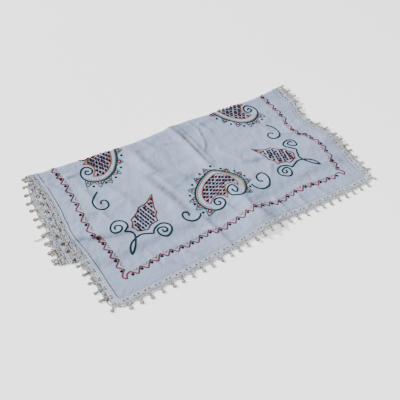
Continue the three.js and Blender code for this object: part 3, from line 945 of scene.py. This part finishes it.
def raised_stem(p):
    """The near right bud's stems, with a first curl that is smaller and lies flatter."""
    x, y = p[:, 0], p[:, 1]
    raised = smooth(3.64, 4.54, y) * (1 - smooth(2.6, 3.4, x))
    return np.stack([x + raised * (0.43 + 0.10 * (1.4 - x)), y + raised * (0.70 + 0.40 * (4.8 - y))], -1)


def stitch_bud(work, mirror_x, mirror_y, offset, chance):
    warped = mirror_x and not mirror_y

    def place(p):
        x = BORDER_LEFT + BORDER_RIGHT - p[:, 0] if mirror_x else p[:, 0]
        y = BORDER_FAR - p[:, 1] if mirror_y else p[:, 1]
        return np.stack([x, y], -1) + np.array(offset)

    sides = [curve_through(part) for part in BUD_SIDES]
    stems = [curve_through(part) for part in BUD_STEMS]
    if warped:
        sides = [raised_side(part) for part in sides]
        stems = [raised_stem(part) for part in stems]
    for part in sides:
        work.line("rust", place(part), stitch=4.4, step=2.4)
    for part in stems:
        work.line("green", place(part), **GREEN_STITCH)
    work.line("orange", place(np.array(BUD_TIP)), stitch=5.4, step=1.6, lift=0.5)
    stitch_checks(work, np.vstack(sides), place, chance, 0.24, [0.27, 0.36], 0.32, 0.78)


DOTS_ACROSS = 24
DOTS_ALONG = 25
ZIGZAG = [(0.0, 0.29), (0.22, 0.09), (0.5, -0.20), (0.78, 0.09)]
CORNER_HOOK = [(-0.44, 0.52), (-0.93, -0.05), (-0.72, -0.42), (-0.50, -0.05), (-0.06, 0.08)]

# How far the border strays from even, measured in the photograph.
BORDER_DRIFT_NEAR = table("x dx dy",
    (0, -0.09, -0.3), (1, -0.15, -0.18), (3, -0.05, 0.08), (6, -0.02, -0.08), (8, 0.03, 0.16),
    (9, 0.0, -0.1), (11, 0.14, 0.15), (12, 0.34, 0.4), (13, 0.36, 0.6), (14, 0.08, 0.32),
    (16, -0.2, -0.12), (18, -0.05, 0.12), (19, 0.16, 0.16), (21, -0.13, -0.1),
    (23, -0.06, -0.24))
BORDER_DRIFT_LEFT = table("y dx dy",
    (0, 0.0, -0.1), (2, 0.12, 0.1), (3.6, 0.06, 0.1), (4.7, 0.0, -0.2), (5.7, -0.26, -0.7),
    (6.8, -0.24, -0.46), (8.9, 0.0, 0.0), (11, 0.14, 0.42), (12, 0.12, 0.34), (13, 0.06, 0.05))
BORDER_DRIFT_RIGHT = table("y dx dy",
    (0.5, 0.0, 0.05), (1.5, 0.18, 0.13), (2.6, 0.58, 0.4), (3.6, 0.71, 0.53), (4.7, 0.44, 0.54),
    (5.7, 0.25, 0.28), (6.8, -0.29, -0.4), (8.3, -0.53, -0.65), (9.9, -0.06, -0.26),
    (12, -0.05, -0.08))


def drifted(points, rows, key):
    at = points[:, 0] if key == "x" else points[:, 1]
    dx = read_table(rows, key, "dx", at)
    dy = read_table(rows, key, "dy", at)
    return points + np.stack([dx, dy], -1)


def border_side(work, start, finish, count, inward, drift):
    """One side of the border from start to finish, with its dots outside and ticks inside."""
    start = np.array(start, float)
    finish = np.array(finish, float)
    inward = np.array(inward, float)
    repeat = (finish - start) / (count - 1)
    points = []
    for k in range(count):
        for along, depth in ZIGZAG:
            if k == count - 1 and along > 0:
                break
            points.append(start + repeat * (k + along) + inward * depth)
    work.line("crimson", drift(curve_through(points, steps=8)), **CRIMSON_STITCH)
    dots = np.array([start + repeat * k for k in range(count)])
    work.add("black", satin_dot(to_flat(drift(dots)), length=7.4, across=1.15))
    for k in range(count - 1):
        middle = start + repeat * (k + 0.5)
        for way in (-1, 1):
            tick = np.array([middle + inward * 0.16, middle + inward * 0.36 + repeat * 0.2 * way])
            work.line("gold", drift(tick), stitch=5.0, step=3.4)


def stitch_border(work):
    near = lambda p: drifted(p, BORDER_DRIFT_NEAR, "x")
    left = lambda p: drifted(p, BORDER_DRIFT_LEFT, "y")
    right = lambda p: drifted(p, BORDER_DRIFT_RIGHT, "y")
    same = lambda p: p
    last = DOTS_ACROSS - 1
    low, high = 0.5, BORDER_FAR - 0.5
    border_side(work, (0, 0), (last, 0), DOTS_ACROSS, (0, 1), near)
    border_side(work, (BORDER_LEFT, low), (BORDER_LEFT, high), DOTS_ALONG, (1, 0), left)
    border_side(work, (BORDER_RIGHT, low), (BORDER_RIGHT, high), DOTS_ALONG, (-1, 0), right)
    border_side(work, (0, BORDER_FAR), (last, BORDER_FAR), DOTS_ACROSS, (0, -1), same)
    hook = np.array(CORNER_HOOK)
    for flip_x in (False, True):
        for flip_y in (False, True):
            x = last - hook[:, 0] if flip_x else hook[:, 0]
            y = BORDER_FAR - hook[:, 1] if flip_y else hook[:, 1]
            work.line("crimson", curve_through(np.stack([x, y], -1)), **CRIMSON_STITCH)


THREADS = {
    "crimson": dict(colour=(0.135, 0.032, 0.055), shade=(0.17, 0.045, 0.075), width=4.3),
    "wine": dict(colour=(0.10, 0.005, 0.018), shade=(0.15, 0.012, 0.03), width=3.1),
    "black": dict(colour=(0.001, 0.001, 0.002), shade=(0.004, 0.003, 0.005), width=3.4),
    "gold": dict(colour=(0.30, 0.23, 0.08), shade=(0.22, 0.17, 0.07), width=2.6),
    "green": dict(colour=(0.003, 0.021, 0.024), shade=(0.005, 0.036, 0.040), width=5.0),
    "teal": dict(colour=(0.035, 0.14, 0.15), shade=(0.025, 0.10, 0.11), width=3.3),
    "orange": dict(colour=(0.28, 0.095, 0.055), shade=(0.21, 0.085, 0.055), width=4.2),
    "rust": dict(colour=(0.165, 0.044, 0.027), shade=(0.12, 0.036, 0.024), width=4.0),
    "rose": dict(colour=(0.22, 0.006, 0.022), shade=(0.16, 0.008, 0.022), width=3.7),
}


FIRST_TENDRILS = {"near": NEAR_LEFT_TENDRIL, "right": RIGHT_TENDRIL}


def build_embroidery():
    chance = random.Random(7)
    work = Embroidery()
    stitch_border(work)
    for side in SIDES:
        stitch_curled_motif(work, side, chance)
        place = SIDES[side]
        first = FIRST_TENDRILS.get(side, SIDE_TENDRIL)
        second = NEAR_RIGHT_TENDRIL if side == "near" else [(-x, y) for x, y in SIDE_TENDRIL]
        for tendril in (first, second):
            work.line("green", place(curve_through(tendril)), **GREEN_STITCH)
    stitch_bud(work, False, False, (0, 0), chance)
    stitch_bud(work, True, False, (0.4, 0.35), chance)
    stitch_bud(work, False, True, (0, 0), chance)
    stitch_bud(work, True, True, (0, 0), chance)
    pieces = []
    for thread, look in THREADS.items():
        finish = thread_finish(thread + " thread", look["colour"], look["shade"])
        pieces.append(lay_strands("stitches_" + thread, work.threads[thread], look["width"],
                                  STITCH_HEIGHT, finish))
    return pieces


# The crocheted edging

SHOWN_FORM = (5, 4)
HIDDEN_FORM = (4, 3)
HEM_CORNER = 8
CORNER_ASIDE = -4
CORNER_DROP_TURN = 0.97
DROP_TINT = 0.36
DROP_SHAKE = dict(place=1.4, sway=0.16, size=0.14, tint=0.18)
UNDER_DROP_TINT = 0.22
UNDER_DROP_SIZE = 0.15
# The raised top ring is lighter and the two lower rings browner, most at each ring's two sides along the
# edge: painted light on the bobble's top and painted shade below it.
DROP_RINGS = [
    dict(out=1.4, radius=2.1, turns=5, lift=0.9, length=4.0, tint=0.2),
    dict(out=8.4, radius=3.2, turns=7, lift=0.8, length=4.8, tint=0.35),
    dict(out=8.6, radius=1.5, turns=4, lift=2.3, length=4.2, tint=-0.15),
]
FIRST_FOLD_LENGTH = 402
UNDER_DROPS_START = 45
UNDER_DROPS_LENGTH = 280
LOOSE_THREAD = [(-141, 172), (-136, 169), (-130, 170), (-124, 169), (-116, 172)]
LOOSE_THREAD_HEIGHT = 2.0
BAND_ROWS = [
    dict(out=3.4, length=7.6, pitch=2.0, tint=0.02, holed=False),
    dict(out=8.8, length=5.0, pitch=2.05, tint=0.06, holed=True),
    dict(out=14.2, length=5.8, pitch=2.05, tint=0.26, holed=False),
]
# Strands laid in each hole: three dark brown ones low down paint the hole's shade, and two light strands
# lie at its sides.
HOLE_STRANDS = table("out length lift tint",
    (-1.2, 2.4, 0.2, 0.95), (0.0, 2.4, 0.2, 0.95), (1.2, 2.4, 0.2, 0.95),
    (-2.6, 2.6, 0.4, 0.1), (2.6, 2.6, 0.4, 0.1))
LONG_HOLES = [(0.22, 0.42), (0.58, 0.78)]
SHORT_HOLES = [(0.33, 0.46), (0.54, 0.67)]
BACK_LIFT = -1.2
UNDER_ROWS = [
    dict(out=-3.0, length=6.0, pitch=2.2, tint=0.30),
    dict(out=-8.5, length=6.0, pitch=2.2, tint=0.45),
    dict(out=-14.0, length=6.0, pitch=2.2, tint=0.35),
]
BAND_CHAINS = [
    dict(out=0.6, tint=0.0),
    dict(out=13.0, tint=0.1),
    dict(out=16.6, tint=0.2),
]
LOOP_LEAN = 0.3
LOOP_LIFTS = (0.3, 0.5)
LOOP_TINT_SHAKE = 1.4
CHAIN_TINT_SHAKE = 1.5
CHAIN_PITCH = 2.4
CHAIN_HALF = 0.35
CHAIN_LOOP = 3.9
CHAIN_LIFT = 0.8
SEAM_PITCH = 2.6
SEAM_STITCH = 2.5
SEAM_OUT = -1.5
SEAM_LIFT = 0.9
SCALLOP_ROOT = 16.5
SCALLOP_TOP = 24.0
SCALLOP_HALF = 5.5
SCALLOP_OPEN = [(0.02, 0.12), (0.18, 0.29), (0.71, 0.82), (0.88, 0.98)]
SCALLOP_MIDDLE = 20
LOOSE_OUT = 21
LOOSE_LIFT = 1.4
LOOSE_LENGTH = 6.0
LOOSE_TINT = 0.3
LOOSE_ASIDE = 1.3
LOOSE_SPREAD = 0.7
LOOSE_SHAKE = dict(out=5.5, lean=0.4, lift=1.2, tint=0.35)


class Strip:
    """One side of the edging: flat coordinates from the run along it and the way out."""

    def __init__(self, length, drops, dip, holes, tint_gain, fluff, place):
        self.length = length
        self.drops = drops
        self.dip = dip
        self.holes = holes
        self.tint_gain = tint_gain
        self.fluff = fluff
        self.place = place
        self.spacing = length / drops
        self.straight = length - 2 * HEM_CORNER
        self.half_turn = HEM_CORNER * math.pi / 4

    def flat(self, run, out, aside=0.0):
        run, out = np.broadcast_arrays(np.asarray(run, float), np.asarray(out, float))
        level = np.clip(run, 0, self.straight)
        angle = (run - level) / self.half_turn * math.pi / 4
        along = HEM_CORNER + level + (HEM_CORNER + out) * np.sin(angle) + aside * np.cos(angle)
        outward = (HEM_CORNER + out) * np.cos(angle) - HEM_CORNER - aside * np.sin(angle)
        u, v = self.place(along, outward)
        return np.stack([u * np.ones_like(along), v * np.ones_like(along)], -1)

    def strands(self, run, out, heading, length, lift, tint, aside=0.0):
        here = self.flat(run, out, aside)
        ahead = self.flat(run, out + heading[1] * 0.4, aside + heading[0] * 0.4)
        return strands_at(here, ahead - here, length, lift, tint)

    def runs(self, out, pitch, openings):
        """Even steps along a row that lies at a distance out, but for its openings."""
        turn_count = round((HEM_CORNER + out) * math.pi / 4 / pitch)
        turn = (np.arange(turn_count) + 0.5) * self.half_turn / turn_count
        count = round(self.straight / pitch)
        level = (np.arange(count) + 0.5) * self.straight / count
        run = np.concatenate([turn - self.half_turn, level, self.straight + turn])
        phase = ((run + HEM_CORNER) % self.spacing) / self.spacing
        kept = np.ones(len(run), bool)
        for low, high in openings:
            kept &= ~((phase > low) & (phase < high))
        return run[kept], phase[kept]


# The fifth number scales how far each side's loops go from white towards brown.
STRIPS = {
    "near": Strip(CLOTH_WIDTH, 28, 20.5, LONG_HOLES, 1.15, 1,
                  lambda along, out: (LEFT_HEM + along, -out)),
    "right": Strip(CLOTH_LENGTH, 30, 21.5, LONG_HOLES, 1.2, 11,
                   lambda along, out: (RIGHT_HEM + out, along)),
    "far": Strip(CLOTH_WIDTH, 28, 20.5, LONG_HOLES, 1.0, 1,
                 lambda along, out: (RIGHT_HEM - along, CLOTH_LENGTH + out)),
    "left": Strip(CLOTH_LENGTH, 30, 21.5, SHORT_HOLES, 1.45, 5,
                  lambda along, out: (LEFT_HEM - out, CLOTH_LENGTH - along)),
}


def shaken(count, reach, chance):
    return np.array([chance.uniform(-reach, reach) for _ in range(count)])


def scallop(strip, phase):
    """How far out the scalloped edge lies, highest at the drops, and its slope."""
    apart = (phase - 0.5) * strip.spacing
    bell = np.exp(-((apart / SCALLOP_HALF) ** 2))
    rise = SCALLOP_TOP - strip.dip
    return strip.dip + rise * bell, -2 * apart / SCALLOP_HALF ** 2 * rise * bell


def crochet_band(strip, chance):
    """Rows of upright loops with chains between them, and dark yarn laid in the pattern's gaps as painted
    shade.
    """
    strands = []
    for row in BAND_ROWS:
        holes = strip.holes if row["holed"] else []
        run, phase = strip.runs(row["out"], row["pitch"], holes)
        tint = row["tint"] * strip.tint_gain * (1 + shaken(len(run), LOOP_TINT_SHAKE, chance))
        for half in (0, 1):
            some = slice(half, None, 2)
            way = (LOOP_LEAN if half else -LOOP_LEAN, 1.0)
            strands.append(strip.strands(run[some], row["out"], way, row["length"], LOOP_LIFTS[half],
                                         tint[some]))
        # Dark strands in each hole, painted shade.
        for low, high in holes:
            repeats = (np.arange(strip.drops) + (low + high) / 2) * strip.spacing - HEM_CORNER
            half_hole = (high - low) * strip.spacing / 2
            for part in HOLE_STRANDS:
                strands.append(strip.strands(repeats, row["out"] + part["out"], (1.0, 0.0),
                                             half_hole * part["length"], part["lift"], part["tint"]))
    for chain in BAND_CHAINS:
        run = strip.runs(chain["out"], CHAIN_PITCH, [])[0]
        tint = chain["tint"] * strip.tint_gain * (1 + shaken(len(run), CHAIN_TINT_SHAKE, chance))
        for way in (-1, 1):
            strands.append(strip.strands(run, chain["out"] + CHAIN_HALF * way, (1.0, CHAIN_HALF * way),
                                         CHAIN_LOOP, CHAIN_LIFT, tint))

    run, phase = strip.runs(SCALLOP_MIDDLE, 2.0, SCALLOP_OPEN)
    edge = scallop(strip, phase)[0]
    tint = np.clip(strip.tint_gain * (0.35 + shaken(len(run), 0.35, chance)), 0, 1)
    strands.append(strip.strands(run, (SCALLOP_ROOT + edge) / 2, (0.15, 1.0), (edge - SCALLOP_ROOT) * 1.3,
                                 0.3, tint))
    run, phase = strip.runs(SCALLOP_MIDDLE, 2.2, [])
    edge, slope = scallop(strip, phase)
    for way in (-1, 1):
        tint = np.clip(strip.tint_gain * (0.2 + shaken(len(run), 0.3, chance)), 0, 1)
        here = strip.flat(run, edge + 0.5 * way)
        ahead = strip.flat(run, edge + 0.5 * way + 0.4 * slope, 0.4)
        strands.append(strands_at(here, ahead - here, 4.2, 0.8, tint))
    return strands


def loose_loops(strip, chance):
    """Loops that stand out of the outer part of the band, as a few in each repeat do."""
    count = strip.fluff * strip.drops
    run = np.array([chance.uniform(0, strip.straight) for _ in range(count)])
    out = LOOSE_OUT + shaken(count, LOOSE_SHAKE["out"], chance)
    lean = chance.uniform(-LOOSE_SHAKE["lean"], LOOSE_SHAKE["lean"])
    lift = LOOSE_LIFT + shaken(count, LOOSE_SHAKE["lift"], chance)
    tint = np.clip(strip.tint_gain * (LOOSE_TINT + shaken(count, LOOSE_SHAKE["tint"], chance)), 0, 1)
    strands = []
    for side in (-1, 1):
        strands.append(strip.strands(run, out, (lean + LOOSE_SPREAD * side, 1.0), LOOSE_LENGTH,
                                     lift, tint, LOOSE_ASIDE * side))
    return strands


def under_rows(strip, chance):
    """More rows of loops where the middle layer's edging shows beyond the upper one's."""
    strands = []
    for row in UNDER_ROWS:
        run = strip.runs(row["out"], row["pitch"], [])[0]
        run = run[shows_under(strip, run)]
        tint = np.clip(row["tint"] + shaken(len(run), 0.35, chance), 0, 1)
        strands.append(strip.strands(run, row["out"], (0.3, 1.0), row["length"], BACK_LIFT, tint))
        strands.append(strip.strands(run, row["out"] + row["length"] / 2, (1.0, 0.3), 3.9, BACK_LIFT - 0.4,
                                     tint * 0.5))
    return strands


def shows_under(strip, run):
    v = strip.flat(run, 0)[:, 1]
    return (v > FIRST_FOLD_LENGTH + UNDER_DROPS_START) & (v < FIRST_FOLD_LENGTH + UNDER_DROPS_LENGTH)


def crochet_drops(strip, chance, corners):
    """The drops: a short stalk of loops and a round bobble, one for each repeat, the bobble's top painted
    light and its lower rings painted shade.
    """
    strands = []
    centres = (np.arange(strip.drops) + 0.5) * strip.length / strip.drops - HEM_CORNER
    centres = centres + shaken(len(centres), DROP_SHAKE["place"], chance)
    shift = np.zeros(len(centres))
    if corners:
        turn = strip.half_turn * CORNER_DROP_TURN
        ends = [-turn, strip.straight + turn]
        centres = np.concatenate([centres, ends])
        shift = np.concatenate([shift, [CORNER_ASIDE, 0]])
    sway = shaken(len(centres), DROP_SHAKE["sway"], chance)
    fat = 1 + shaken(len(centres), DROP_SHAKE["size"], chance)
    # How brown each drop is, at random, and browner and larger where the middle layer's drops show beyond
    # the upper edging.
    drop_brown = np.clip(DROP_TINT + shaken(len(centres), DROP_SHAKE["tint"], chance), 0, 1)
    under = shows_under(strip, centres)
    drop_brown = drop_brown + UNDER_DROP_TINT * under
    fat = fat + UNDER_DROP_SIZE * under
    stalk = [(step * 2.2 - 2.0, way) for step in range(4) for way in (-1, 1)]
    for out, way in stalk:
        strands.append(strip.strands(centres, BAND_WIDTH + out, (way * 0.3, 1.0), 4.8, 0.6,
                                     drop_brown + 0.12 * way, shift + sway * out + way * 1.4))
    for ring in DROP_RINGS:
        for k in range(ring["turns"]):
            angle = k * math.tau / ring["turns"] + 0.4
            radius = ring["radius"] * fat
            aside = shift + sway * ring["out"] + radius * math.cos(angle)
            out = BAND_WIDTH + ring["out"] + radius * math.sin(angle)
            # Painted light and shade on the bobble, by ring and by side.
            tint = np.clip(drop_brown + ring["tint"] * (1 + 0.6 * math.cos(angle * 2)), 0, 1)
            strands.append(strip.strands(centres, out, (-math.sin(angle), math.cos(angle)),
                                         ring["length"], ring["lift"], tint, aside))
    return strands


def loose_thread():
    """The thread end that lies on the floor by the left edging."""
    line = curve_through(LOOSE_THREAD)
    points, heading = walk(line, 1.8)
    place = np.column_stack([points, np.full(len(points), LOOSE_THREAD_HEIGHT)])
    place = place - np.array([ORIGIN_X, ORIGIN_Y, 0])
    heading = np.column_stack([heading, np.zeros(len(points))])
    upward = np.tile([[0.0, 0.0, 1.0]], (len(points), 1))
    return place, heading, upward, np.full(len(points), 4.2), np.full(len(points), 0.95)


def build_edging():
    chance = random.Random(19)
    finish = yarn_finish()
    pieces = {}
    for side, strip in STRIPS.items():
        strands = crochet_band(strip, chance) + crochet_drops(strip, chance, side in ("near", "far"))
        strands += loose_loops(strip, chance)
        if side == "left":
            strands += under_rows(strip, chance)
            strands.append(loose_thread())
        sides, steps = HIDDEN_FORM if side == "far" else SHOWN_FORM
        pieces[side] = lay_strands("edging_" + side, strands, YARN_WIDTH, YARN_HEIGHT, finish,
                                   sides, steps)
    return pieces


def build_seam(finish):
    """The line of machine stitches that holds the edging, just inside the hem, drawn wide and dark to
    paint the shade of its groove too.
    """
    strands = []
    for strip in STRIPS.values():
        whole = strip.straight + 2 * strip.half_turn
        count = int(whole / SEAM_PITCH)
        run = -strip.half_turn + (np.arange(count) + 0.5) * whole / count
        strands.append(strip.strands(run, SEAM_OUT, (1.0, 0.0), SEAM_STITCH, SEAM_LIFT, 0.0))
    return lay_strands("seam_stitches", strands, SEAM_WIDTH, SEAM_HEIGHT, finish, steps=3)


set_camera()
set_studio()
STRAND_TREE = make_strand_tree()

cloth = build_cloth(cotton_finish())
edging = build_edging()
embroidery = build_embroidery()
# The seam thread's dark grey-blue is partly painted shade of the seam's groove.
seam = build_seam(thread_finish("seam thread", (0.11, 0.125, 0.165), (0.16, 0.18, 0.23)))

for piece in embroidery + [seam]:
    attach(piece, "root")
for side, piece in edging.items():
    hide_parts("lace_" + side)
    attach(piece, "root")
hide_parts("cloth")
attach(cloth, "root")
